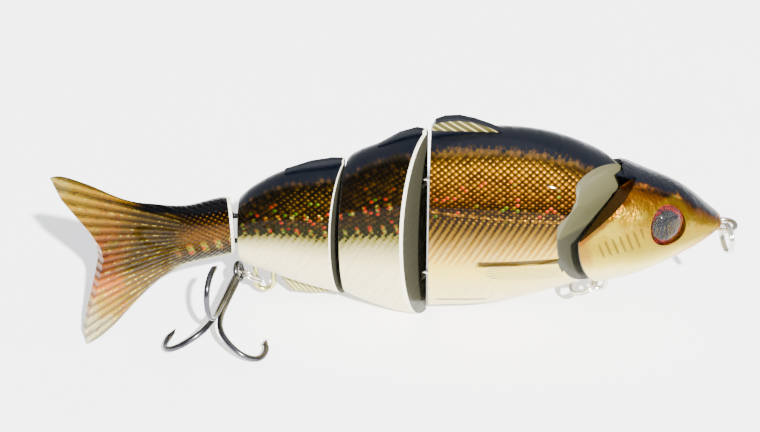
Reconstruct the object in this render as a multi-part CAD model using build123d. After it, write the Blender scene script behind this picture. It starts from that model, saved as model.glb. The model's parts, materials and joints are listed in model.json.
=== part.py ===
from build123d import *
from math import cos, pi, radians, sin, tan
import os

os.makedirs("parts", exist_ok=True)

# Jointed swimbait, 5-inch class, standing on its belly. Millimetres, +X towards the nose,
# +Z up, -Y the side that carries the fish's right eye. Every body section is first modelled
# straight, with its own hinge at x = 0, then turned to the resting curve of the chain.

# ---- joints of the chain -------------------------------------------------------------
FRONT_LENGTH = 33.0            # rear face of the front body to the head hinge
MID_LENGTH = 12.8              # hinge of the middle body to its rear face
REAR_LENGTH = 17.8             # hinge of the rear body to its rear face
HINGE_BACK = 2.9               # rear face of a body to the hinge of the next one
TAIL_HINGE_BACK = 2.6
HEAD_TURN = 2.0                # resting turn of each body about +Z, in degrees
FRONT_TURN = -3.0
MID_TURN = -11.0
REAR_TURN = -3.0
TAIL_TURN = 33.0

# ---- shell construction --------------------------------------------------------------
WALL = 1.8
WEDGE = 15.0                   # each side of a wedge leans back by this angle
HEAD_WEDGE = 43.0
HEAD_SOCKET = 36.0             # the head's hollow leans back less, so that it can swing
TAIL_WEDGE = 24.0
WIDEST = 0.55                  # height of the widest line, as a share of the body's height
SECTION_POINTS = 16
FAR = 60.0                     # reach of the cutting prisms

# ---- hinge hardware ------------------------------------------------------------------
PIN_R = 0.6
WIRE_R = 0.5
EYE_R = 1.2                    # pin centre to wire centre
SLOT_HALF_HEIGHT = 0.85
SLOT_HALF_WIDTH = 2.4
SLOT_BACK = 2.05
ANCHOR = 4.0                   # wire buried in the body ahead

# ---- rings and hook ------------------------------------------------------------------
RING_R = 2.68                  # split ring, centre line
RING_WIRE_R = 0.28
HANGER_R = 1.75
BELLY_HANGER_R = 1.4
TIE_R = 2.05
TIE_WIRE_R = 0.48
HOOK_WIRE_R = 0.55
HOOK_EYE_R = 1.65
HOOK_EYE_WIRE_R = 0.5
HOOK_POINT = 2.4               # length of each ground point
HOOK_BEND = [(0.5, 3.0), (0.5, 8.0), (0.55, 13.5), (0.9, 16.8), (2.2, 19.7), (4.7, 21.5),
             (7.6, 22.1), (10.0, 20.9), (10.95, 18.6), (10.8, 16.4)]

EYE_DISC_R = 3.75


def section(x, top, bottom, half_width):
    """One cross-section of a body: an egg, fullest a little above its middle."""
    widest = bottom + WIDEST * (top - bottom)
    points = []
    for k in range(SECTION_POINTS):
        a = 2 * pi * k / SECTION_POINTS
        reach = top - widest if sin(a) > 0 else widest - bottom
        points.append((x, half_width * cos(a), widest + reach * sin(a)))
    return Face(Wire([Edge.make_spline([Vector(*p) for p in points], periodic=True)]))


def body_loft(stations, inset=0.0):
    """A body through its stations (x, top, bottom, half width), or its inner wall."""
    faces = [section(x, t - inset, b + inset, w - inset) for x, t, b, w in stations]
    return Solid.make_loft([f.outer_wire() for f in faces])


def side_prism(points, low, high):
    """A solid of constant width between y = low and y = high, from a side outline."""
    wire = Wire([Edge.make_line(Vector(a[0], low, a[1]), Vector(b[0], low, b[1]))
                 for a, b in zip(points, points[1:] + points[:1])])
    return Solid.extrude(Face(wire), Vector(0, high - low, 0))


def smooth_side_prism(points, low, high):
    """The same, with a smooth closed outline."""
    edge = Edge.make_spline([Vector(x, low, z) for x, z in points], periodic=True)
    return Solid.extrude(Face(Wire([edge])), Vector(0, high - low, 0))


def box(x0, x1, y0, y1, z0, z1):
    return Pos((x0 + x1) / 2, (y0 + y1) / 2, (z0 + z1) / 2) * Box(x1 - x0, y1 - y0, z1 - z0)


def leaning_prism(points, side, angle):
    """A side outline pushed out to one side while it leans back by the wedge angle."""
    wire = Wire([Edge.make_line(Vector(a[0], 0, a[1]), Vector(b[0], 0, b[1]))
                 for a, b in zip(points, points[1:] + points[:1])])
    push = Vector(-FAR * tan(radians(angle)), side * FAR, 0)
    return Solid.extrude(Face(wire), push)


def wedge_cut(solid, tip_line, angle):
    """Cut away what lies ahead of a wedge whose edge follows tip_line (x, z)."""
    ahead = tip_line + [(tip_line[-1][0] + FAR, tip_line[-1][1]),
                        (tip_line[0][0] + FAR, tip_line[0][1])]
    for side in (-1, 1):
        solid = solid - leaning_prism(ahead, side, angle)
    return solid


def cylinder(start, end, r):
    a = Vector(*start)
    b = Vector(*end)
    return Solid.make_cylinder(r, (b - a).length, Plane(origin=a, z_dir=(b - a)))


def hinge_eye(z, end_x):
    """A wire eye round the hinge pin, with a shank that runs to end_x."""
    way = 1 if end_x > 0 else -1
    ring = Solid.make_torus(EYE_R, WIRE_R, Plane(origin=(0, 0, z), z_dir=(0, 0, 1)))
    shank = cylinder((way * (EYE_R + 0.1), 0, z), (end_x, 0, z), WIRE_R)
    return ring.fuse(shank)


def eye_slot(z, end_x):
    """Room for a hinge eye to swing in, from behind the pin to end_x."""
    low, high = sorted((-SLOT_BACK if end_x > 0 else SLOT_BACK, end_x))
    return box(low, high, -SLOT_HALF_WIDTH, SLOT_HALF_WIDTH,
               z - SLOT_HALF_HEIGHT, z + SLOT_HALF_HEIGHT)


def swept(path, r):
    """A round wire along a path."""
    plane = Plane(origin=path.position_at(0), z_dir=path.tangent_at(0))
    return Solid.sweep(Face(Wire.make_circle(r, plane)), path)


def wire_loop(x, z, r, wire_r, top):
    """A U of wire that hangs below a body, its two legs running up to top."""
    left = Edge.make_line(Vector(x - r, 0, top), Vector(x - r, 0, z))
    bend = Edge.make_three_point_arc(Vector(x - r, 0, z), Vector(x, 0, z - r), Vector(x + r, 0, z))
    right = Edge.make_line(Vector(x + r, 0, z), Vector(x + r, 0, top))
    return swept(Wire([left, bend, right]), wire_r)


def halves(solid, cutters, name, pieces):
    """Clear the pockets from a body and part it down the middle into two shells."""
    for cutter in cutters:
        solid = solid - cutter
    pieces[name + "_left"] = solid & box(-FAR, FAR, 0, FAR, -FAR, FAR)
    pieces[name + "_right"] = solid & box(-FAR, FAR, -FAR, 0, -FAR, FAR)


def placed(pieces, turn, at):
    """Turn a straight body about its hinge and carry it to its place in the chain."""
    where = Location((at[0], at[1], 0), (0, 0, turn))
    return {name: shape.moved(where) for name, shape in pieces.items()}


def ahead_of(at, turn, distance):
    """The point a distance ahead of another along a body turned about +Z."""
    return (at[0] + distance * cos(radians(turn)), at[1] + distance * sin(radians(turn)))


def split_ring(centre, axis):
    """Two turns of wire side by side, closed into one ring."""
    axis = Vector(*axis).normalized()
    turns = []
    for side in (-1, 1):
        at = Vector(*centre) + axis * (side * RING_WIRE_R * 0.96)
        turns.append(Solid.make_torus(RING_R, RING_WIRE_R, Plane(origin=at, z_dir=axis)))
    return turns[0].fuse(turns[1])


def treble(eye_at, shank, eye_axis):
    """Three hooks brazed round one shank, with an eye of the same wire at its end."""
    at = Vector(*eye_at)
    down = Vector(*shank).normalized()
    level = down.cross(Vector(0, 0, 1)).normalized()
    up = level.cross(down)
    hook = Solid.make_torus(HOOK_EYE_R, HOOK_EYE_WIRE_R, Plane(origin=at, z_dir=Vector(*eye_axis)))
    neck = Solid.make_cylinder(HOOK_WIRE_R * 1.15, 4.0, Plane(origin=at + down * HOOK_EYE_R, z_dir=down))
    hook = hook.fuse(neck)
    for k in range(3):
        out = up * cos(2 * pi * k / 3) + level * sin(2 * pi * k / 3)
        points = [at + out * r + down * s for r, s in HOOK_BEND]
        path = Edge.make_spline(points)
        hook = hook.fuse(swept(path, HOOK_WIRE_R))
        tip = path.position_at(1)
        aim = path.tangent_at(1)
        point = Solid.make_cone(HOOK_WIRE_R, 0.05, HOOK_POINT, Plane(origin=tip, z_dir=aim))
        barb_at = tip + aim * 1.1 - out * 0.28
        barb = Solid.make_cone(0.08, 0.34, 1.3, Plane(origin=barb_at - out * 0.55 - aim * 1.2,
                                                      z_dir=aim * 1.2 + out * 0.62))
        hook = hook.fuse(point).fuse(barb)
    return hook


# ---- where the hinges stand ------------------------------------------------------------
front_at = (0.0, 0.0)
head_at = ahead_of(front_at, FRONT_TURN, FRONT_LENGTH)
mid_at = ahead_of(front_at, FRONT_TURN, -HINGE_BACK)
rear_at = ahead_of(mid_at, MID_TURN, -MID_LENGTH - HINGE_BACK)
tail_at = ahead_of(rear_at, REAR_TURN, -REAR_LENGTH - TAIL_HINGE_BACK)

# ---- head --------------------------------------------------------------------------------
HEAD = [(-9.0, 37.0, 8.6, 11.5), (-4.0, 35.4, 8.9, 11.3), (1.5, 33.3, 9.6, 10.7),
        (6.0, 31.3, 10.9, 9.8), (10.4, 29.4, 12.7, 8.3), (14.7, 27.1, 14.8, 6.5),
        (18.2, 24.2, 17.0, 4.7), (20.6, 22.1, 19.1, 3.0), (21.5, 21.3, 19.8, 1.8)]
SOCKET_EDGE = [(2.4, 60.0), (2.4, 33.4), (3.9, 29.8), (1.9, 23.2), (1.8, 17.0), (1.9, -10.0)]
GILL_TOP = [(12.0, 37.2), (5.1, 31.9), (-6.2, 23.2), (-FAR, 23.2), (-FAR, 60.0), (12.0, 60.0)]
NECK_HALF_WIDTH = 2.9
HEAD_EYE_Z = (27.2, 14.0)
HEAD_ANCHOR = 6.0
EYE_AT = (10.4, 23.8)          # centre of the fish's eye, along the head and up
EYE_OUT = 8.25                 # surface of the head there
EYE_FORWARD = 23.0             # the eye looks forward and a little up by these angles
EYE_UP = 5.0
EYE_DEPTH = 1.4
EYE_PROUD = 0.5
DISC_THICK = 0.5
TIE_AT = (22.4, 19.3)

head = {}
skin = body_loft(HEAD)
for side in (-1, 1):
    skin = skin - leaning_prism(SOCKET_EDGE + [(-FAR, -10.0), (-FAR, 60.0)], side, HEAD_SOCKET)
for low, high in ((-FAR, -NECK_HALF_WIDTH), (NECK_HALF_WIDTH, FAR)):
    skin = skin - side_prism(GILL_TOP, low, high)
skin = skin - box(-FAR, 2.2, -FAR, FAR, 32.2, FAR)

for z, level in zip(HEAD_EYE_Z, ("upper", "lower")):
    head["head_eye_" + level] = hinge_eye(z, HEAD_ANCHOR)
tie_plane = Plane(origin=(TIE_AT[0], 0, TIE_AT[1]), z_dir=(0, 0, 1))
head["line_tie"] = Solid.make_torus(TIE_R, TIE_WIRE_R, tie_plane)
head["head_ballast"] = Pos(8.8, 0, 17.2) * Sphere(2.2)
hardware = list(head.values())
chamber = body_loft(HEAD, WALL) & box(5.2, 16.5, -4.0, 4.0, 20.6, 25.6)
sockets = []
for side, name in ((1, "left"), (-1, "right")):
    aim = Vector(sin(radians(EYE_FORWARD)), side * cos(radians(EYE_FORWARD)), sin(radians(EYE_UP)))
    aim = aim.normalized()
    at = Vector(EYE_AT[0], side * EYE_OUT, EYE_AT[1])
    floor_at = at - aim * (EYE_DEPTH + DISC_THICK)
    disc = Solid.make_cylinder(EYE_DISC_R, DISC_THICK, Plane(origin=floor_at, z_dir=aim))
    base = at - aim * EYE_DEPTH
    rise = EYE_DEPTH + EYE_PROUD
    dome_r = (EYE_DISC_R ** 2 + rise ** 2) / (2 * rise)
    ball = Solid.make_sphere(dome_r, Plane(origin=base + aim * (rise - dome_r), z_dir=aim))
    dome = ball & Solid.make_cylinder(EYE_DISC_R, 9.0, Plane(origin=base, z_dir=aim))
    head["eye_disc_" + name] = disc
    head["eye_dome_" + name] = dome
    sockets.append(Solid.make_cylinder(EYE_DISC_R, 9.0, Plane(origin=floor_at, z_dir=aim)))
halves(skin, hardware + sockets + [chamber], "head_shell", head)
NOSE_RING = (TIE_AT[0] + 0.30, -1.88, TIE_AT[1] - 1.71)
NOSE_RING_AXIS = (0.983, 0.182, 0.032)
head["nose_ring"] = split_ring(NOSE_RING, NOSE_RING_AXIS)

# ---- front body ----------------------------------------------------------------------------
FRONT = [(0.0, 38.0, 2.0, 10.4), (6.0, 38.9, 2.6, 11.1), (13.0, 39.2, 3.6, 11.6),
         (20.0, 38.6, 5.7, 11.7), (26.0, 36.9, 8.0, 11.4), (32.0, 34.1, 10.2, 10.8),
         (38.0, 31.0, 11.5, 9.8)]
NOSE_EDGE = [(34.9, 60.0), (34.9, 33.0), (36.35, 29.5), (34.45, 23.2), (34.4, 17.0), (34.6, -10.0)]
DORSAL = [(0.0, 36.0), (0.0, 39.4), (0.8, 41.0), (2.6, 41.7), (5.2, 41.9), (8.0, 41.3),
          (10.8, 40.3), (13.6, 39.0), (13.6, 36.0)]
DORSAL_HALF = 0.8
PECTORAL = [(9.0, 16.3), (14.5, 17.2), (21.0, 17.6), (25.2, 18.2), (24.9, 15.4), (20.5, 13.3),
            (15.0, 12.9), (11.0, 14.8)]
RELIEF = 0.35
MID_EYE_Z = (28.7, 8.5)
FRONT_BALLS = (8.2, 14.4, 20.4)
BELLY_HANGER = (32.2, 7.2)

front = {}
skin = body_loft(FRONT)
fin = body_loft(FRONT, -RELIEF) & smooth_side_prism(PECTORAL, -FAR, FAR)
skin = skin.fuse(fin)
skin = skin.fuse(side_prism(DORSAL, -DORSAL_HALF, DORSAL_HALF))
skin = wedge_cut(skin, NOSE_EDGE, HEAD_WEDGE)
skin = skin & box(0, FAR, -FAR, FAR, -FAR, FAR)
for z, level in zip(MID_EYE_Z, ("upper", "lower")):
    eye = hinge_eye(z, HINGE_BACK + ANCHOR)
    front["front_eye_" + level] = eye.moved(Location((-HINGE_BACK, 0, 0)))
front["head_hinge_pin"] = cylinder((FRONT_LENGTH, 0, 12.0), (FRONT_LENGTH, 0, 30.6), PIN_R)
front["belly_hanger"] = wire_loop(*BELLY_HANGER, BELLY_HANGER_R, WIRE_R, 11.6)
for k, x in enumerate(FRONT_BALLS):
    front["front_ballast_%d" % (k + 1)] = Pos(x, 0, 9.2) * Sphere(2.6)
hardware = list(front.values())
slots = [eye_slot(z, 6.0).moved(Location((FRONT_LENGTH, 0, 0))) for z in HEAD_EYE_Z]
chamber = body_loft(FRONT, WALL) & box(5.6, 24.0, -FAR, FAR, 14.0, 37.0)
halves(skin, hardware + slots + [chamber], "front_shell", front)
BELLY_RING = (BELLY_HANGER[0] - 2.69, 0.81, BELLY_HANGER[1] - 1.04)
BELLY_RING_AXIS = (-0.449, -0.118, 0.885)
front["belly_ring"] = split_ring(BELLY_RING, BELLY_RING_AXIS)

# ---- middle body -----------------------------------------------------------------------------
MID = [(4.9, 38.9, 0.3, 10.6), (0.9, 38.3, 0.05, 10.3), (-2.2, 37.3, 0.2, 10.0),
       (-7.9, 34.5, 1.5, 9.4), (-12.2, 32.0, 3.0, 8.8), (-12.8, 31.4, 3.3, 8.7)]
MID_TIP = 2.4                  # wedge edge ahead of the hinge, 0.5 short of the face ahead
MID_RIDGE = [(3.0, 36.0), (3.0, 39.0), (0.2, 39.3), (-3.0, 38.0), (-7.0, 35.2), (-7.0, 33.0)]
RIDGE_HALF = 0.6
REAR_EYE_Z = (24.0, 9.5)

mid = {}
skin = body_loft(MID)
skin = skin.fuse(side_prism(MID_RIDGE, -RIDGE_HALF, RIDGE_HALF))
skin = wedge_cut(skin, [(MID_TIP, 50.0), (MID_TIP, -10.0)], WEDGE)
mid["mid_hinge_pin"] = cylinder((0, 0, 4.8), (0, 0, 32.4), PIN_R)
for z, level in zip(REAR_EYE_Z, ("upper", "lower")):
    eye = hinge_eye(z, HINGE_BACK + ANCHOR)
    mid["mid_eye_" + level] = eye.moved(Location((-MID_LENGTH - HINGE_BACK, 0, 0)))
mid["mid_ballast"] = cylinder((-6.2, -4.0, 6.4), (-6.2, 4.0, 6.4), 2.1)
hardware = list(mid.values())
slots = [eye_slot(z, 5.0) for z in MID_EYE_Z]
chamber = body_loft(MID, WALL) & box(-8.0, -3.6, -FAR, FAR, 12.0, 34.0)
halves(skin, hardware + slots + [chamber], "mid_shell", mid)

# ---- rear body ---------------------------------------------------------------------------------
REAR = [(4.0, 30.9, 2.0, 9.0), (2.0, 30.5, 2.6, 8.8), (-2.6, 29.5, 3.8, 8.3),
        (-7.2, 28.6, 5.1, 7.6), (-11.0, 27.1, 6.5, 6.8), (-14.6, 24.9, 7.7, 5.8),
        (-17.8, 21.9, 9.3, 4.8)]
REAR_TIP = 2.4
REAR_RIDGE = [(3.0, 28.0), (3.0, 31.3), (0.0, 31.3), (-4.0, 30.5), (-9.0, 28.6), (-9.0, 26.0)]
ANAL_FIN = [(1.0, 5.0), (-0.4, 2.4), (-4.0, 2.1), (-8.0, 2.5), (-10.2, 5.6), (-10.2, 8.0)]
TAIL_EYE_Z = (18.4, 12.9)
HANGER_X = -13.4
HANGER_Z = 3.95

rear = {}
skin = body_loft(REAR)
skin = skin.fuse(side_prism(REAR_RIDGE, -RIDGE_HALF, RIDGE_HALF))
skin = skin.fuse(side_prism(ANAL_FIN, -RIDGE_HALF, RIDGE_HALF))
skin = wedge_cut(skin, [(REAR_TIP, 50.0), (REAR_TIP, -10.0)], WEDGE)
rear["rear_hinge_pin"] = cylinder((0, 0, 6.4), (0, 0, 27.2), PIN_R)
for z, level in zip(TAIL_EYE_Z, ("upper", "lower")):
    eye = hinge_eye(z, TAIL_HINGE_BACK + ANCHOR)
    rear["rear_eye_" + level] = eye.moved(Location((-REAR_LENGTH - TAIL_HINGE_BACK, 0, 0)))
rear["rear_hanger"] = wire_loop(HANGER_X, HANGER_Z, HANGER_R, WIRE_R, 11.0)
rear["rear_ballast"] = Pos(-6.2, 0, 11.0) * Sphere(2.3)
hardware = list(rear.values())
slots = [eye_slot(z, 5.0) for z in REAR_EYE_Z]
chamber = body_loft(REAR, WALL) & box(-12.4, -3.8, -FAR, FAR, 15.0, 26.0)
halves(skin, hardware + slots + [chamber], "rear_shell", rear)
REAR_RING = (-16.56, 0.21, 5.05)
REAR_RING_AXIS = (-0.364, -0.460, -0.810)
HOOK_AT = (-18.21, -1.34, 6.83)
HOOK_SHANK = (-0.145, -0.989, -0.018)
HOOK_EYE_AXIS = (-0.958, 0.193, -0.212)
rear["rear_ring"] = split_ring(REAR_RING, REAR_RING_AXIS)
rear["treble_hook"] = treble(HOOK_AT, HOOK_SHANK, HOOK_EYE_AXIS)

# ---- tail ------------------------------------------------------------------------------------------
TAIL = [(2.3, 22.3, 9.9, 4.3), (-0.4, 22.2, 10.1, 4.1), (-6.9, 22.8, 10.7, 3.2),
        (-11.2, 24.0, 10.4, 2.5), (-14.8, 25.5, 9.2, 2.0), (-18.6, 27.1, 7.0, 1.6),
        (-22.4, 29.4, 4.2, 1.3), (-27.2, 33.1, 1.1, 1.05), (-31.0, 35.7, 0.15, 0.85),
        (-35.1, 37.2, 0.1, 0.65)]
FORK = [(-36.5, 39.0), (-35.0, 36.7), (-33.4, 32.2), (-31.0, 28.1), (-28.6, 24.0), (-26.8, 20.1),
        (-26.5, 17.7), (-27.4, 14.4), (-28.5, 11.0), (-29.9, 7.3), (-30.9, 3.5), (-30.6, -2.0)]
TAIL_TIP_TOP = (0.9, 26.0)
TAIL_TIP_BOTTOM = (1.5, 8.0)

tail = {}
skin = body_loft(TAIL)
skin = skin - side_prism(FORK + [(-FAR, -2.0), (-FAR, 39.0)], -FAR, FAR)
skin = wedge_cut(skin, [TAIL_TIP_TOP, TAIL_TIP_BOTTOM], TAIL_WEDGE)
tail["tail_hinge_pin"] = cylinder((0, 0, 11.2), (0, 0, 20.6), PIN_R)
slots = [eye_slot(z, 5.0) for z in TAIL_EYE_Z]
halves(skin, [tail["tail_hinge_pin"]] + slots, "tail_shell", tail)

chain = {}
chain.update(placed(head, HEAD_TURN, head_at))
chain.update(placed(front, FRONT_TURN, front_at))
chain.update(placed(mid, MID_TURN, mid_at))
chain.update(placed(rear, REAR_TURN, rear_at))
chain.update(placed(tail, TAIL_TURN, tail_at))


# ---- the shared frame: origin under the middle of the whole lure, on the ground --------------
boxes = [shape.bounding_box() for shape in chain.values()]
middle_x = (min(b.min.X for b in boxes) + max(b.max.X for b in boxes)) / 2
middle_y = (min(b.min.Y for b in boxes) + max(b.max.Y for b in boxes)) / 2
lowest = min(b.min.Z for b in boxes)
for name, shape in chain.items():
    export_step(shape.moved(Location((-middle_x, -middle_y, -lowest))), "parts/%s.step" % name)
    print(name, len(shape.solids()), round(shape.volume, 2))
print("frame origin", round(middle_x, 3), round(middle_y, 3), round(lowest, 3))
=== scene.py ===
# %% [markdown]
# # A jointed swimbait
# This lesson dresses a jointed fishing lure: five shell sections on wire hinges, three split
# rings and a treble hook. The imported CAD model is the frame. It says where every piece is
# and how it moves, so each piece made here takes its place from there.

# %% Load the frame
import bmesh
import bpy
import json
from math import cos, radians, sin
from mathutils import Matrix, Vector


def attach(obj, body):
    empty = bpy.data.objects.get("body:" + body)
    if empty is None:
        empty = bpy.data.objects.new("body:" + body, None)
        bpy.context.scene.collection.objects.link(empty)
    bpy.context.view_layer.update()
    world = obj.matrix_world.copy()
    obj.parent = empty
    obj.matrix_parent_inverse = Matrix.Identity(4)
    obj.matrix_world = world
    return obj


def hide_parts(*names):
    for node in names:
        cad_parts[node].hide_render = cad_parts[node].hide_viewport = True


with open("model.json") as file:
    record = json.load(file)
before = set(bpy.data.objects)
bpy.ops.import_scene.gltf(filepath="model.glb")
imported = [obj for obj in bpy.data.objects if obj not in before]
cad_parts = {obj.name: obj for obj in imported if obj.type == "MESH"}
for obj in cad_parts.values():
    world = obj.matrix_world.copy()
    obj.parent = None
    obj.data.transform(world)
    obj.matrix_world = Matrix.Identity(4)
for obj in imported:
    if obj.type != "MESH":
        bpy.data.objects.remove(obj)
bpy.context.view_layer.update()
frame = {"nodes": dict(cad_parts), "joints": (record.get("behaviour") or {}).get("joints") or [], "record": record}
hinge = {j["name"]: Vector((j["pos_m"][0], j["pos_m"][1], 0.0)) for j in frame["joints"]}

# %% [markdown]
# Each section of the lure was drawn straight and then turned about an upright pin. The paint
# runs along the fish as if it were straight, so every section gets a frame of its own: where
# its hinge is, how far it is turned, and how far along the straight fish its hinge lies.

# %% Where each section's own frame lies
MM = 0.001
FRONT_TURN = -3.0
NECK = 33.0                    # rear face of the front section to the head's hinge, mm
front_way = Vector((cos(radians(FRONT_TURN)), sin(radians(FRONT_TURN)), 0))
SECTIONS = {
    "head": (hinge["head_yaw"], 2.0, 33.0),
    "front": (hinge["head_yaw"] - front_way * NECK * MM, FRONT_TURN, 0.0),
    "mid": (hinge["middle_yaw"], -11.0, -2.9),
    "rear": (hinge["rear_yaw"], -3.0, -18.6),
    "tail": (hinge["tail_yaw"], 33.0, -39.0),
}
for name, (at, turn, along) in SECTIONS.items():
    print(name, [round(v / MM, 2) for v in at], turn)

# %% [markdown]
# A finish is a material built from nodes. Two small classes keep that readable. `Value` wraps
# one socket and turns ordinary arithmetic into Math nodes. `Finish` adds every other node:
# its settings first, then the values or links of its sockets.

# %% Values and finishes
class Value:
    """One socket of a finish, ready for arithmetic."""

    def __init__(self, finish, socket):
        self.finish = finish
        self.socket = socket

    def math(self, operation, *others):
        sockets = dict(enumerate((self,) + others))
        return self.finish.add("ShaderNodeMath", {"operation": operation}, sockets)

    def __add__(self, other):
        return self.math("ADD", other)

    def __sub__(self, other):
        return self.math("SUBTRACT", other)

    def __mul__(self, other):
        return self.math("MULTIPLY", other)

    def __truediv__(self, other):
        return self.math("DIVIDE", other)

    def __rsub__(self, other):
        return self * -1.0 + other

    __radd__ = __add__
    __rmul__ = __mul__

    def fraction(self):
        return self.math("FRACT")

    def whole(self):
        return self.math("FLOOR")

    def sine(self):
        return self.math("SINE")

    def size(self):
        return self.math("ABSOLUTE")

    def rise(self, low, high):
        """0 below low, 1 above high, and a soft step between them."""
        return self.finish.add("ShaderNodeMapRange", {"interpolation_type": "SMOOTHSTEP"},
                               {0: self, 1: low, 2: high, 3: 0.0, 4: 1.0})

    def fall(self, low, high):
        return 1.0 - self.rise(low, high)

    def band(self, low, high, soft):
        return self.rise(low - soft, low + soft) * self.fall(high - soft, high + soft)


def paint(code):
    """A paint's colour from its six-figure web code, as the shader wants it."""
    parts = [int(code[i:i + 2], 16) / 255 for i in (1, 3, 5)]
    return tuple(((c + 0.055) / 1.055) ** 2.4 if c > 0.04 else c / 12.92 for c in parts) + (1.0,)


class Finish:
    """A material whose nodes are added in the order they are thought of."""

    def __init__(self, name, **surface):
        self.material = bpy.data.materials.new(name)
        self.material.use_nodes = True
        self.tree = self.material.node_tree
        self.shader = self.tree.nodes["Principled BSDF"]
        for socket, value in surface.items():
            self.set(socket.replace("_", " "), value)

    def set(self, socket, value):
        if isinstance(value, Value):
            self.tree.links.new(value.socket, self.shader.inputs[socket])
        else:
            self.shader.inputs[socket].default_value = value

    def add(self, kind, settings=None, sockets=None, out=0):
        node = self.tree.nodes.new(kind)
        for key, value in (settings or {}).items():
            if key == "stops":
                elements = node.color_ramp.elements
                elements[1].position, elements[1].color = value[-1]
                elements[0].position, elements[0].color = value[0]
                for position, colour in value[1:-1]:
                    elements.new(position).color = colour
            else:
                setattr(node, key, value)
        for key, value in (sockets or {}).items():
            if isinstance(value, Value):
                self.tree.links.new(value.socket, node.inputs[key])
            else:
                node.inputs[key].default_value = value
        return Value(self, node.outputs[out])

    def mix(self, factor, first, second):
        return self.add("ShaderNodeMix", {"data_type": "RGBA"}, {0: factor, 6: first, 7: second}, 2)

    def ramp(self, value, stops):
        return self.add("ShaderNodeValToRGB", {"stops": stops}, {0: value})

    def noise(self, vector, scale, detail=3.0):
        return self.add("ShaderNodeTexNoise", None,
                        {"Vector": vector, "Scale": scale, "Detail": detail})

    def vector(self, x, y, z=0.0):
        return self.add("ShaderNodeCombineXYZ", None, {0: x, 1: y, 2: z})

    def chance(self, vector, out=0):
        """A steady random number, or colour with out=1, for each whole step of a vector."""
        return self.add("ShaderNodeTexWhiteNoise", {"noise_dimensions": "3D"},
                        {"Vector": vector}, out)

    def object_place(self):
        return self.add("ShaderNodeTexCoord", out=3)

    def own_place(self, section):
        """Place on a section in its own straight frame, in millimetres."""
        at, turn, along = SECTIONS[section]
        return self.add("ShaderNodeMapping", {"vector_type": "TEXTURE"},
                        {"Vector": self.object_place(), "Location": at,
                         "Rotation": (0.0, 0.0, radians(turn)), "Scale": (MM, MM, MM)})

    def split(self, vector):
        return [self.add("ShaderNodeSeparateXYZ", None, {0: vector}, i) for i in range(3)]

    def bumps(self, height, strength, distance):
        self.set("Normal", self.add("ShaderNodeBump", None,
                                    {"Height": height, "Strength": strength, "Distance": distance}))


print("red as the shader sees it", [round(c, 3) for c in paint("#a02010")])

# %% [markdown]
# The fish's back line and belly line, section after section, let a finish know how high it is
# on the body wherever it is: 0 on the belly line, 1 on the back. Each line is a colour ramp
# used as a curve, because a ramp takes any number of stops and a formula would not fit.

# %% How high on the fish
LINE_START = -60.0
LINE_LENGTH = 120.0
LINE_HEIGHT = 45.0
BACK_LINE = [(-54, 25.5), (-50, 24.0), (-46, 22.8), (-39, 22.2), (-36.4, 21.9), (-33.2, 24.9),
             (-29.6, 27.1), (-25.8, 28.6), (-21.2, 29.5), (-16.6, 30.5), (-10.8, 34.5), (-5, 37.3),
             (0, 38.2), (6, 38.9), (13, 39.2), (20, 38.6), (26, 36.9), (32, 34.1), (39, 31.3),
             (43.4, 29.4), (47.7, 27.1), (51.2, 24.2), (54.5, 21.3)]
BELLY_LINE = [(-50, 10.4), (-46, 10.7), (-39, 10.0), (-36.4, 9.3), (-33.2, 7.7), (-29.6, 6.5),
              (-25.8, 5.1), (-21.2, 3.8), (-16.6, 2.6), (-10.8, 1.5), (-5, 0.2), (-2, 0.1), (0, 2.0),
              (6, 2.6), (13, 3.6), (20, 5.7), (26, 8.0), (32, 10.2), (39, 10.9), (43.4, 12.7),
              (47.7, 14.8), (51.2, 17.0), (54.5, 19.8)]


def line_height(finish, along, line):
    """Height of the back line or belly line, in millimetres, that far along the fish."""
    stops = [((x - LINE_START) / LINE_LENGTH, (z / LINE_HEIGHT,) * 3 + (1.0,)) for x, z in line]
    return finish.ramp((along - LINE_START) / LINE_LENGTH, stops) * LINE_HEIGHT


def share_up(finish, along, z):
    back = line_height(finish, along, BACK_LINE)
    belly = line_height(finish, along, BELLY_LINE)
    return (z - belly) / (back - belly)


print("back line", len(BACK_LINE), "belly line", len(BELLY_LINE))

# %% [markdown]
# Scales overlap in staggered rows. Two slanting counters cut the flank into a lattice. Inside
# each cell the distance from its middle gives a rounded tile with a dark seam round it, and
# the whole parts of the counters name the tile, so that each can have its own chance tint, as
# pressed foil has.

# %% Scales
SCALE_LONG = 1.35              # length of a scale, mm
SCALE_TALL = 1.0               # height of a scale, mm
SCALE_ROUND = 3.2              # how fast a scale falls off from its middle
SCALE_TILT = 0.45              # how far its free edge stands up


def scales(finish, along, z):
    """Relief of the scale tiles and a steady random name for each."""
    rising = along / SCALE_LONG + z / SCALE_TALL
    falling = along / SCALE_LONG - z / SCALE_TALL
    p = rising.fraction() - 0.5
    q = falling.fraction() - 0.5
    relief = 1.0 - (p * p + q * q) * SCALE_ROUND - (p + q) * SCALE_TILT
    name = finish.vector(rising.whole(), falling.whole())
    return relief, name


print("one scale", SCALE_LONG, "by", SCALE_TALL, "mm")
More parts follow.
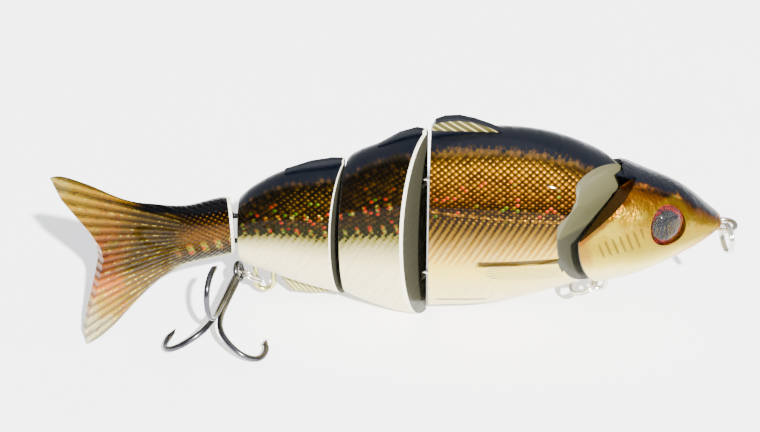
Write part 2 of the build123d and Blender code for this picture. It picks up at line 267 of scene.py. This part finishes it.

# %% [markdown]
# The body finish is foil under a thin clear coat. From the top down it goes dark back, gold
# scales, amber and brown with chance sparks of red and green, slanting spikes that run out
# into straw yellow, and a cream belly. A ramp over the share of height holds the colours, and
# the scales move its input a little, so that no colour ends in a straight line. Where a
# section is cut for its hinge, its cut face is painted dark as painted shade from the next
# section, and some sections get a pale painted highlight along the lit edge of the wall.

# %% Paints
NAVY = paint("#02040b")
GOLD = paint("#966400")
AMBER = paint("#4c2800")
BROWN = paint("#160a00")
OLIVE = paint("#242200")
STRAW = paint("#a88000")
CREAM = paint("#d0c69a")
SILVER = paint("#c4bfa6")
EMBER = paint("#c41800")
LEAF = paint("#2e6c00")
# The cut face paint is painted shade: the faces in the hinge gaps lie in the shadow of the next section.
SHADED_CUT_FACE = paint("#302f24")
# The rim paint is a painted highlight on the lit edge of a section's wall.
RIM_HIGHLIGHT = paint("#dcd8c0")
INK = paint("#080400")
WEDGE_TIP = 2.4                # wedge edge of the middle and rear sections ahead of their hinge
WEDGE_LEAN = 0.268             # how far a wedge face falls back for each millimetre sideways
SPIKE_SLANT = 0.55             # how far a spike leans along the fish for each millimetre up
SPIKE_PITCH = 1.3              # distance from spike to spike, mm
SPIKE_SHARE = (0.40, 0.66)     # shares of height that the spikes cross
SCALE_SHARE = (0.66, 0.95)
SPARK_SHARE = (0.64, 0.84)
GLOSS = {"Coat_Weight": 0.12, "Specular_IOR_Level": 0.12}
BUMP = 0.00024                 # height of the relief, m
DEEP = 0.6                     # how far foil is darkened under its coat


def body_finish(section, levels, colours, spike, dark, glow):
    """Foil for one section: colours from belly to back, at levels that are shares of height."""
    finish = Finish(section + "_finish", **GLOSS)
    place = finish.own_place(section)
    x, y, z = finish.split(place)
    along = x + SECTIONS[section][2]
    up = share_up(finish, along, z)
    relief, name = scales(finish, along, z)
    luck = finish.chance(name)
    hue = finish.chance(name, 1)
    slant = (along - z * SPIKE_SLANT) / SPIKE_PITCH
    teeth = (slant.fraction() - 0.5).size() * 2.0
    cloud = finish.noise(place, 0.35)
    level = up + (relief - 0.4) * 0.018 + (luck - 0.5) * 0.012 + (cloud - 0.5) * 0.035
    level = level + (teeth - 0.5) * spike * up.band(*SPIKE_SHARE, 0.04)
    base = finish.ramp(level, list(zip(levels, colours)))
    scaly = up.band(*SCALE_SHARE, 0.03)
    base = finish.mix(scaly * relief.fall(0.05, 0.5) * 0.75, base, dark)
    dome = scaly * relief.rise(0.2, 0.7)
    base = finish.mix(dome * luck.rise(0.5, 1.0) * glow, base, GOLD)
    base = finish.mix(scaly * luck.fall(0.0, 0.35) * 0.3, base, dark)
    sparks = up.band(*SPARK_SHARE, 0.03) * luck.rise(0.90, 0.94) * relief.rise(0.4, 0.8)
    base = finish.mix(sparks * 0.8, base, finish.mix(hue.rise(0.70, 0.80), EMBER, LEAF))
    streak = (finish.noise(finish.vector(slant * 0.8, z * 0.05), 2.2) - 0.5).size().fall(0.0, 0.05)
    base = finish.mix(streak * up.band(0.08, 0.54, 0.08) * 0.4, base, paint("#a49468"))
    foil = up.rise(0.34, 0.62) * up.fall(0.93, 0.96)
    tiles = relief * up.band(0.60, 0.94, 0.04) + teeth * 0.4 * up.band(0.10, 0.58, 0.05)
    finish.set("Roughness", 0.32 + luck * 0.16)
    return finish, base, foil, (x, y, z, up, along, place, tiles)


def bare(finish, base, foil, depth, tiles, bared, lit_rim=0.0, tone=SHADED_CUT_FACE):
    """Deepen the foil, then paint the bared cut faces in tone as painted shade where bared is 1, and a pale
    painted highlight where lit_rim is 1.
    """
    base = finish.mix(foil * depth, base, INK)
    finish.bumps(tiles * (1.0 - bared), 0.5, BUMP)
    base = finish.mix(lit_rim * 0.85, base, RIM_HIGHLIGHT)
    base = finish.mix(bared, base, tone)
    finish.set("Metallic", foil * (1.0 - bared) * (1.0 - lit_rim))
    return base


print("gold", [round(c, 3) for c in GOLD], "navy", [round(c, 3) for c in NAVY])

# %% [markdown]
# The front section is the brightest, and it carries most of the drawing: the dashed lateral
# line, the dark upper edge and grey rays of the pectoral fin, the pelvic line and the ribbed
# web of the dorsal fin, whose pale ribs are painted highlights. Each is a thin mask in the
# section's own millimetres, laid over the foil. The bare wedge at the neck is a mask too, on
# the plane that the shell was cut along; it is painted dark below as painted shade, and
# lighter above, where it is painted as lit.

# %% Front section
LEVELS = [0.0, 0.33, 0.44, 0.56, 0.65, 0.70, 0.76, 0.84, 0.90, 0.945, 0.962]
FRONT_COLOURS = [CREAM, paint("#c4ac40"), STRAW, paint("#7c5800"), paint("#3a2400"), BROWN, AMBER,
                 paint("#744800"), GOLD, paint("#3c2a00"), NAVY]
LATERAL_HIGH = 27.0            # lateral line, mm up
LATERAL_DASH = 2.3             # one dash and its gap, mm
PECTORAL_HIGH = 16.9           # dark upper edge of the pectoral fin
PECTORAL_SPAN = (9.0, 26.0)
RAY_SPAN = (11.0, 24.5)
RAY_HEIGHT = (13.4, 16.7)
PELVIC_HIGH = 6.3
PELVIC_SPAN = (1.5, 11.0)
DORSAL_ROOT = 39.1             # where the dorsal fin leaves the back
DORSAL_CREST = 41.9
NOSE_LEAN = 0.9325             # the neck wedge falls back this far for each millimetre sideways
NOSE_TIP = 34.45
NOSE_BULGE = 1.6               # how much further ahead the wedge's edge is at its middle
front_finish, base, foil, at = body_finish("front", LEVELS, FRONT_COLOURS, 0.19,
                                            paint("#221200"), 0.5)
x, y, z, _, along, _, tiles = at
dash = (along / LATERAL_DASH).fraction().band(0.15, 0.85, 0.08)
lateral = (z - (LATERAL_HIGH - (along - 8.0) * 0.03)).size().fall(0.10, 0.30) * dash
base = front_finish.mix(lateral * 0.85, base, GOLD)
fin_line = (z - (PECTORAL_HIGH + (x - PECTORAL_SPAN[0]) * 0.085)).size().fall(0.35, 0.7)
fin_line = fin_line * x.band(*PECTORAL_SPAN, 0.6)
base = front_finish.mix(fin_line * 0.95, base, paint("#2e1e02"))
fan = ((z - 17.6) / (x - 29.0)) * 30.0
rays = fan.fraction().band(0.20, 0.62, 0.12) * x.band(*RAY_SPAN, 0.8) * z.band(*RAY_HEIGHT, 0.3)
base = front_finish.mix(rays * 0.8, base, paint("#5c5846"))
pelvic = (z - (PELVIC_HIGH + x * 0.06)).size().fall(0.15, 0.4) * x.band(*PELVIC_SPAN, 0.8)
base = front_finish.mix(pelvic * 0.85, base, paint("#3c2c04"))
dorsal_top = DORSAL_CREST - (x - 5.0) * (x - 5.0) * 0.038
dorsal = z.rise(DORSAL_ROOT, DORSAL_ROOT + 0.3) * y.size().fall(0.85, 1.2) * (dorsal_top - z).rise(0.5, 0.8)
# Pale stripes on the dorsal fin's ribs are painted highlights over its dark web.
rib_highlight = ((x + z * 1.6) / 1.9).fraction().band(0.30, 0.55, 0.12)
fin_web_and_highlights = front_finish.mix(rib_highlight * 0.8, paint("#38320e"), paint("#a89c68"))
base = front_finish.mix(dorsal, base, fin_web_and_highlights)
nose_tip = NOSE_TIP + z.band(27.0, 31.6, 1.6) * NOSE_BULGE
wedge = (x + y.size() * NOSE_LEAN - nose_tip).rise(-0.35, -0.15)
bared = wedge + x.fall(0.02, 0.06)
# The wedge face is painted light: dark below as painted shade from the head, lighter above where it is painted as
# lit by the sun.
face = front_finish.mix(z.rise(22.5, 23.5), SHADED_CUT_FACE, paint("#45432e"))
front_finish.set("Base Color", bare(front_finish, base, foil, DEEP, tiles, bared, tone=face))
print("front finish nodes", len(front_finish.tree.nodes))

# %% [markdown]
# The middle and rear sections wear the same foil in darker paints, with a hard edge to the
# pale belly and two rows of slanting glints. One function finishes both. Each has a wedge
# ahead, painted dark as painted shade with a pale painted highlight along its lit rim, and a
# flat cut face behind, painted dark as painted shade.

# %% Middle and rear sections
BACK_LEVELS = [0.0, 0.20, 0.50, 0.57, 0.59, 0.64, 0.70, 0.76, 0.86, 0.94, 0.962]
BACK_COLOURS = [CREAM, CREAM, paint("#b8ae74"), paint("#887c20"), paint("#181c00"), OLIVE,
                paint("#2e1e00"), paint("#1a0e00"), paint("#241600"), paint("#100a00"), NAVY]

GLINT_PITCH = 2.7              # distance from glint to glint, mm
LOW_ROW = 0.62                 # shares of height of the two rows of glints
HIGH_ROW = 0.735
MID_END = -12.8                # flat face at the end of a section, mm from its hinge
REAR_END = -17.8


def back_section(section, end, lit_rim_width):
    """A darker section with a wedge ahead and a flat face at its end."""
    finish, base, foil, at = body_finish(section, BACK_LEVELS, BACK_COLOURS, 0.045,
                                         paint("#120a00"), 0.2)
    x, y, z, up, along, place, tiles = at
    glint = ((along + z * 0.35) / GLINT_PITCH).fraction().band(0.25, 0.5, 0.1)
    rows = (up - LOW_ROW).size().fall(0.012, 0.03) + (up - HIGH_ROW).size().fall(0.010, 0.026)
    fire = finish.ramp(finish.noise(place, 1.1), list(zip(
        [0.38, 0.46, 0.54, 0.62], [EMBER, paint("#b87000"), LEAF, paint("#b8a040")])))
    base = finish.mix(rows * glint * 0.85, base, fire)
    low_fin = up.fall(-0.03, 0.0) * y.size().fall(0.62, 0.9)
    ray = ((x * 1.2 + z) / 1.1).fraction().band(0.3, 0.6, 0.12)
    base = finish.mix(low_fin, base, finish.mix(ray * 0.6, paint("#6e6830"), paint("#cfc89c")))
    # The wedge ahead and the flat face behind are painted dark as painted shade.
    ahead = x + y.size() * WEDGE_LEAN - WEDGE_TIP
    bared = (ahead.rise(-0.10, -0.04) + x.fall(end + 0.02, end + 0.06)).math("MINIMUM", 1.0)
    # The rim band is a pale painted highlight along the lit edge of the wall.
    lit_rim = ahead.band(-lit_rim_width, -0.05, 0.05)
    finish.set("Base Color", bare(finish, base, foil, DEEP, tiles, bared, lit_rim))
    return finish


mid_finish = back_section("mid", MID_END, 0.75)
rear_finish = back_section("rear", REAR_END, 0.35)
print("rear finish nodes", len(rear_finish.tree.nodes))

# %% [markdown]
# The head has a gill plate, a snout and a jaw in one moulding. Its paint follows the same
# shares of height, with a gold ring round the eye, brown along the top of the gill plate,
# short slanting strokes on the cheek, and an amber edge to the mouth. The neck, which runs in
# under the front section, is painted black: partly the head's black back, partly painted
# shade in the gap under the front section.

# %% Head finish
HEAD_LEVELS = [0.0, 0.20, 0.30, 0.42, 0.62, 0.78, 0.86, 0.915, 0.945, 0.965]
HEAD_COLOURS = [CREAM, paint("#c4b468"), paint("#b09c28"), paint("#a88e00"), paint("#a88600"),
                paint("#a07400"), paint("#945c00"), paint("#7c4400"), paint("#241000"), NAVY]
head_finish = Finish("head_finish", **GLOSS)
place = head_finish.own_place("head")
x, y, z = head_finish.split(place)
wide = y.size()
along = x + SECTIONS["head"][2]
up = share_up(head_finish, along, z)
cloud = head_finish.noise(place, 0.35)
fine = head_finish.noise(place, 1.6, 6.0)
grit = head_finish.noise(place, 5.0)
base = head_finish.ramp(up + (cloud - 0.5) * 0.16 + (fine - 0.5) * 0.05,
                        list(zip(HEAD_LEVELS, HEAD_COLOURS)))
glow = cloud.rise(0.48, 0.62) * up.band(0.35, 0.80, 0.08)
base = head_finish.mix(glow * 0.5, base, paint("#b8a828"))
sparkle = grit.rise(0.60, 0.70) * up.band(0.60, 0.92, 0.05)
base = head_finish.mix(sparkle * 0.6, base, paint("#b46400"))
EYE_X = 10.4                   # middle of the eye in side view, mm
EYE_Z = 23.8
GILL_FOOT = 27.97              # the gill plate's top edge: its height at the hinge, and its slope
GILL_SLOPE = 0.77
STROKE_PITCH = 1.45
LIP_AT = 20.4
SOCKET_LEAN = 0.7265           # how far the socket's rim runs back for each millimetre sideways
HEAD_DEEP = 0.35
eye_x = x - EYE_X
eye_z = z - EYE_Z
eye_away = (eye_x * eye_x + eye_z * eye_z).math("SQRT")
base = head_finish.mix(eye_away.band(3.4, 4.2, 0.3) * 0.7, base, paint("#a07c00"))
gill_line = GILL_FOOT + x * GILL_SLOPE
edge = (gill_line - z).band(-0.3, 1.1, 0.5) * up.fall(0.84, 0.90)
base = head_finish.mix(edge * 0.8, base, paint("#5c2600"))
hind = (x - (-6.2 + (z - 23.2).size() * 0.32)).fall(0.3, 1.6) * z.fall(24.0, 26.0)
base = head_finish.mix(hind * 0.6 * z.rise(15.0, 19.0), base, paint("#8c5000"))
strokes = ((x + z * 0.42) / STROKE_PITCH).fraction().band(0.25, 0.55, 0.12)
strokes = strokes * (z - (19.4 + x * 0.25)).band(0.0, 3.8, 0.4) * x.band(-2.8, 5.6, 0.4)
base = head_finish.mix(strokes * 0.75, base, paint("#5c4400"))
mouth = (z - (14.6 + (x - 9.0) * 0.53)).size().fall(0.2, 0.55) * x.rise(9.0, 13.0)
base = head_finish.mix(mouth * 0.8, base, paint("#945400"))
lip = x.rise(LIP_AT, LIP_AT + 0.8)
base = head_finish.mix(lip * 0.6, base, paint("#a06400"))
# The neck is painted black, partly as the black back paint and partly as painted shade in the gap.
neck = (z - gill_line).rise(0.1, 0.3)
base = head_finish.mix(neck, base, NAVY)
# The socket's cut face is painted dark as painted shade, like the other cut faces.
socket_edge = 1.85 + z.band(27.5, 32.5, 1.8) * 1.8
bared = (x + wide * SOCKET_LEAN - socket_edge).fall(0.10, 0.22) * (1.0 - neck)
foil = up.rise(0.22, 0.45) * up.fall(0.93, 0.96)
tiles = cloud * 2.4 + fine * 0.9 + strokes * 0.9
head_finish.set("Base Color", bare(head_finish, base, foil, HEAD_DEEP, tiles, bared))
head_finish.set("Roughness", 0.22 + fine * 0.2)
print("head finish nodes", len(head_finish.tree.nodes))

# %% [markdown]
# The tail section starts as the narrow root of the tail, scaled like the body, and opens into
# a forked fin. Its rays fan out from a point inside the root, so the angle round that point
# counts the rays.

# %% Tail finish
tail_finish = Finish("tail_finish", **GLOSS)
place = tail_finish.own_place("tail")
x, y, z = tail_finish.split(place)
along = x + SECTIONS["tail"][2]
relief, name = scales(tail_finish, along, z)
luck = tail_finish.chance(name)
FAN_X = -1.0                   # the point that the rays fan out from, mm
FAN_Z = 16.2
RAYS = 104.0                   # rays that a full turn would hold
FAN_REACH = 45.0               # from that point to the tip of the fin
ROOT_TOP = 22.3
ROOT_LOW = 10.0
TAIL_LEAN = 0.4452
TAIL_DEEP = 0.4
GLINT_HIGH = 15.0
back = FAN_X - x
angle = (z - FAN_Z).math("ARCTAN2", back)
reach = (back * back + (z - FAN_Z) * (z - FAN_Z)).math("SQRT")
wander = tail_finish.noise(place, 0.28)
fine = tail_finish.noise(place, 1.3)
ray = (angle * RAYS + fine * 1.5).sine()
root_up = (z - ROOT_LOW) / (ROOT_TOP + (x * x) * 0.012 - ROOT_LOW)
root = tail_finish.ramp(root_up + (relief - 0.4) * 0.04, list(zip(
    [0.0, 0.10, 0.17, 0.40, 0.60, 0.78, 0.88, 0.92],
    [SILVER, paint("#a8a470"), OLIVE, paint("#4a3000"), paint("#6a4200"), paint("#2c1800"),
     BROWN, NAVY])))
root = tail_finish.mix(relief.fall(0.0, 0.45) * root_up.band(0.2, 0.9, 0.04) * 0.6, root, BROWN)
fire = tail_finish.ramp(fine, list(zip([0.38, 0.46, 0.54, 0.62], [
    EMBER, paint("#b87c00"), LEAF, paint("#c0a848")])))
glint = ((along + z * 0.4) / GLINT_PITCH).fraction().band(0.2, 0.6, 0.1)
root = tail_finish.mix((z - GLINT_HIGH).size().fall(0.7, 1.6) * glint * 0.9, root, fire)
spread = reach / FAN_REACH + (wander - 0.5) * 0.25
upper = tail_finish.ramp(spread, list(zip(
    [0.20, 0.42, 0.62, 0.80, 0.92],
    [paint("#402c00"), paint("#4c3600"), paint("#9c6c00"), paint("#a88200"), paint("#aca468")])))
lower = tail_finish.ramp(spread, list(zip(
    [0.20, 0.42, 0.58, 0.68, 0.90],
    [paint("#402c00"), paint("#4c3600"), paint("#806000"), paint("#8c8660"), paint("#a8a490")])))
fin = tail_finish.mix(angle.fall(-0.30, -0.10), upper, lower)
red = reach.rise(19.0, 25.0) * angle.band(-0.30, 0.30, 0.12) * wander.rise(0.40, 0.55)
fin = tail_finish.mix(red * 0.75, fin, paint("#8c3400"))
spots = tail_finish.noise(place, 0.55).rise(0.60, 0.68) * reach.rise(16.0, 22.0)
fin = tail_finish.mix(spots * 0.6, fin, paint("#743000"))
fin = tail_finish.mix(ray.fall(-0.8, 0.1) * 0.6, fin, paint("#201200"))
flash = ray.rise(0.6, 0.95) * fine.rise(0.50, 0.62)
fin = tail_finish.mix(flash * 0.7, fin, fire)
base = tail_finish.mix(x.fall(-13.5, -9.0), root, fin)
ridge = ROOT_TOP + (x * x) * 0.0125
base = tail_finish.mix((z - ridge).rise(-1.3, -0.7) * x.rise(-21.0, -17.0), base, NAVY)
ahead = x + y.size() * TAIL_LEAN - (1.767 - z * 0.0333)
# The tail's front wedge is painted dark as painted shade.
bared = ahead.rise(-0.10, -0.04)
# A pale painted highlight runs along the lit rim of the wedge.
lit_rim = ahead.band(-0.75, -0.05, 0.05)
pale = angle.fall(-0.42, -0.30) * reach.rise(18.0, 24.0)
foil = root_up.rise(0.10, 0.25) * (1.0 - pale * 0.7)
on_fin = x.fall(-13.0, -9.0)
tiles = ray * on_fin * 1.2 + relief * (1.0 - on_fin)
tail_finish.set("Base Color", bare(tail_finish, base, foil, TAIL_DEEP, tiles, bared, lit_rim))
tail_finish.set("Roughness", 0.24 + luck * 0.14)
print("tail finish nodes", len(tail_finish.tree.nodes))

# %% [markdown]
# The metal parts differ more in colour than in shape: the wire is dull nickel, the rings are
# bright, and the hook is black nickel. Drawn wire has fine scratches, so noise moves the
# roughness and a small bump.

# %% Metal finishes
def metal_finish(name, light, dark, roughness):
    finish = Finish(name, Metallic=1.0, Coat_Weight=0.2)
    place = finish.object_place()
    worn = finish.noise(place, 900.0, 5.0)
    patch = finish.noise(place, 160.0)
    finish.set("Base Color", finish.mix(patch.rise(0.38, 0.66), paint(light), paint(dark)))
    finish.set("Roughness", roughness + worn * 0.14)
    finish.bumps(worn, 0.15, 0.00006)
    return finish


wire_finish = metal_finish("wire_steel", "#d2cdc0", "#a09a88", 0.16)
ring_finish = metal_finish("ring_steel", "#e0ddd4", "#b4b0a4", 0.10)
hook_finish = metal_finish("hook_steel", "#4c4c50", "#26262a", 0.14)
olive_finish = metal_finish("olive_wire", "#c8c07a", "#8a8440", 0.18)
# The hinge eyes and the tail pin get a darker copy of the wire as painted shade, since they sit in the gaps
# between sections.
shaded_wire_finish = metal_finish("shaded_wire", "#3a3a3c", "#161618", 0.22)
ballast_finish = metal_finish("ballast_steel", "#8c8c90", "#6a6a70", 0.3)
print("metal finish nodes", len(wire_finish.tree.nodes))

# %% [markdown]
# The eye is a printed disc under a clear dome: a dark pupil with a soft grey sheen, and a thin
# deep-red iris. Distance from the disc's centre draws both.

# %% Eye finishes
eye_finish = Finish("eye_paint", Roughness=0.5)
place = eye_finish.own_place("head")
x, y, z = eye_finish.split(place)
DISC_AT = (9.66, 6.5, 23.63)   # middle of the printed disc, mm ahead, out and up
PUPIL_EDGE = (2.55, 2.85)      # the pupil gives way to the iris between these radii, mm
across = x - DISC_AT[0]
inward = y.size() - DISC_AT[1]
tall = z - DISC_AT[2]
away = (across * across + inward * inward + tall * tall).math("SQRT")
flecks = eye_finish.noise(place, 1.4)
iris = eye_finish.mix(flecks.rise(0.35, 0.7), paint("#4a0604"), paint("#b01808"))
pupil = eye_finish.mix((across + tall).rise(-1.5, 3.0), paint("#020203"), paint("#101014"))
eye_base = eye_finish.mix((away + (flecks - 0.5) * 0.3).rise(*PUPIL_EDGE), pupil, iris)
eye_finish.set("Base Color", eye_base)
eye_finish.bumps(flecks, 0.1, 0.0001)
lens_finish = Finish("eye_lens", Transmission_Weight=1.0, IOR=1.22)
scuffs = lens_finish.noise(lens_finish.object_place(), 500.0)
lens_finish.set("Roughness", 0.01 + scuffs * 0.05)
print("pupil edge at", PUPIL_EDGE, "mm")

# %% [markdown]
# A CAD mesh is loose triangles. A copy with its doubles merged can be shaded smoothly, and a
# clear-coated lure shows every facet otherwise, so each shown node gets such a copy, which
# stands for it and rides on the same body.

# %% Smooth copies of the CAD pieces
SMOOTH_ANGLE = radians(32)


def smooth_copy(node, finish, body):
    """A merged, smoothly shaded copy of a CAD node, with a finish of its own."""
    piece = bpy.data.objects.new(node + "_skin", frame["nodes"][node].data.copy())
    bpy.context.scene.collection.objects.link(piece)
    build = bmesh.new()
    build.from_mesh(piece.data)
    bmesh.ops.remove_doubles(build, verts=build.verts, dist=1e-7)
    for edge in build.edges:
        edge.smooth = len(edge.link_faces) == 2 and edge.calc_face_angle(0.0) < SMOOTH_ANGLE
    for face in build.faces:
        face.smooth = True
    build.to_mesh(piece.data)
    build.free()
    piece.data.materials.clear()
    piece.data.materials.append(finish.material)
    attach(piece, body)
    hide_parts(node)
    return piece


node_slot = {entry["node"]: entry["material_slot"] for entry in frame["record"]["subparts"]}
shell_finish = {"head": head_finish, "front": front_finish, "mid": mid_finish,
                "rear": rear_finish, "tail": tail_finish}
slot_finish = {"wire_steel": wire_finish, "ring_steel": ring_finish, "hook_steel": hook_finish,
               "ballast_steel": ballast_finish, "eye_paint": eye_finish, "eye_lens": lens_finish}
for section, finish in shell_finish.items():
    slot_finish[section + "_finish"] = finish
# Darker wire on the hinge eyes and the tail pin is painted shade.
special = {"rear_hanger": olive_finish, "rear_eye_upper": shaded_wire_finish,
           "rear_eye_lower": shaded_wire_finish, "tail_hinge_pin": shaded_wire_finish}
body_of_node = {}
for body, members in frame["record"]["behaviour"]["bodies"].items():
    for node in members:
        body_of_node[node] = body
for node in sorted(frame["nodes"]):
    finish = special.get(node, slot_finish[node_slot[node]])
    smooth_copy(node, finish, body_of_node[node])
print("copies", len(frame["nodes"]))

# %% [markdown]
# The lure is set on a plain pale floor in clear light from the front right, so that its
# shadow falls behind it and to the left. A pale sky fills the shadows, and the floor glows a
# little, as a card lit from below does. The camera looks from the front at thirty degrees
# down.

# %% Floor, light and camera
FLOOR_HALF = 1.5
SKY_COLOUR = (0.93, 0.95, 1.0, 1.0)
SKY_LIGHT = 1.0
SUN_LIGHT = 22.0
CARD_LIGHT = 1.0
floor_build = bmesh.new()
bmesh.ops.create_grid(floor_build, x_segments=2, y_segments=2, size=FLOOR_HALF)
floor_mesh = bpy.data.meshes.new("floor")
floor_build.to_mesh(floor_mesh)
floor_build.free()
floor = bpy.data.objects.new("floor", floor_mesh)
bpy.context.scene.collection.objects.link(floor)
floor_finish = Finish("floor_card", Roughness=0.6, Emission_Strength=0.5)
grain = floor_finish.noise(floor_finish.object_place(), 40.0)
floor_white = floor_finish.mix(grain, paint("#fafbff"), paint("#ffffff"))
floor_finish.set("Base Color", floor_white)
floor_finish.set("Emission Color", floor_white)
floor.data.materials.append(floor_finish.material)

world = bpy.data.worlds.new("studio")
world.use_nodes = True
world.node_tree.nodes["Background"].inputs[0].default_value = SKY_COLOUR
world.node_tree.nodes["Background"].inputs[1].default_value = SKY_LIGHT
bpy.context.scene.world = world


def lamp(kind, name, strength, at, toward, size):
    data = bpy.data.lights.new(name, kind)
    data.energy = strength
    if kind == "AREA":
        data.size = size
    else:
        data.angle = size
    light = bpy.data.objects.new(name, data)
    light.location = at
    way = Vector(toward) - Vector(at)
    light.rotation_euler = way.to_track_quat("-Z", "Y").to_euler()
    bpy.context.scene.collection.objects.link(light)


SUN_RISE = radians(35)
SUN_SIDE = radians(15)
sun_way = Vector((sin(SUN_SIDE) * cos(SUN_RISE), -cos(SUN_SIDE) * cos(SUN_RISE), sin(SUN_RISE)))
lamp("SUN", "sun", SUN_LIGHT, sun_way, (0, 0, 0), radians(1.5))
lamp("AREA", "sky_card", CARD_LIGHT, (0.1, -0.05, 0.45), (0, 0, 0.02), 0.5)

CAMERA_AT = (-4.244, -341.94, 220.68)
CAMERA_TILT = 60               # degrees from looking straight down
camera_data = bpy.data.cameras.new("camera")
camera_data.lens = 100.8
camera_data.sensor_width = 36.0
camera = bpy.data.objects.new("camera", camera_data)
camera.location = [v * MM for v in CAMERA_AT]
camera.rotation_euler = (radians(CAMERA_TILT), 0, 0)
bpy.context.scene.collection.objects.link(camera)
bpy.context.scene.camera = camera
print("camera", [round(v, 4) for v in camera.location])
